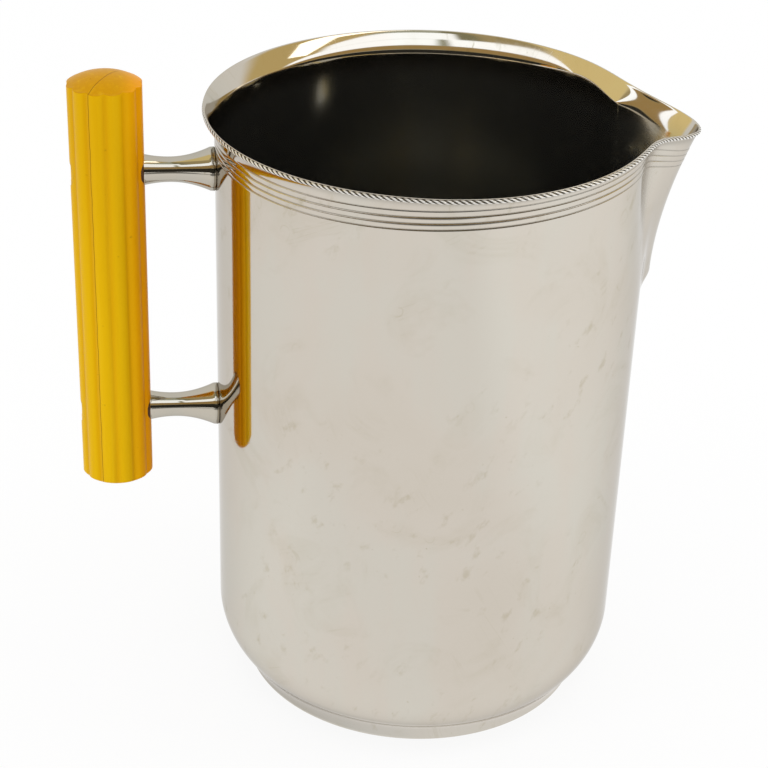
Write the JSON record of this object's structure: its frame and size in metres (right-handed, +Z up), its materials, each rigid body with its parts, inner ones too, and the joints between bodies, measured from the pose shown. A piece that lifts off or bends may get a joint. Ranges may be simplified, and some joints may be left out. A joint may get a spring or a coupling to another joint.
{
  "type": "water pitcher",
  "caption": "Straight-sided polished metal water pitcher with a raised spout, rope-edged flared lip, foot ring and a reeded upright bar grip on two turned struts.",
  "frame": {"origin": "centre of the foot ring's standing plane, on the body's axis", "axes": "+Z up along the body's axis, +X from the handle towards the spout, +Y across"},
  "size_m": [0.1833, 0.1342, 0.1976],
  "materials": {
    "body_metal": "polished warm silver-grey plate with faint stains and scratches",
    "rope_metal": "polished plate, tarnished between the strands",
    "strut_metal": "polished plate",
    "grip_resin": "satin cast resin, amber yellow",
    "gasket_fibre": "brown fibre",
    "screw_steel": "plain",
    "washer_brass": "plain"
  },
  "bodies": {
    "root": {"body_shell": "body_metal", "foot_ring": "body_metal", "rim_rope": "rope_metal", "upper_strut": "strut_metal", "lower_strut": "strut_metal", "grip": "grip_resin", "upper_gasket": "gasket_fibre", "lower_gasket": "gasket_fibre", "upper_screw": "screw_steel", "lower_screw": "screw_steel", "upper_washer": "washer_brass", "lower_washer": "washer_brass", "upper_plug": "grip_resin", "lower_plug": "grip_resin"}
  },
  "joints": []
}
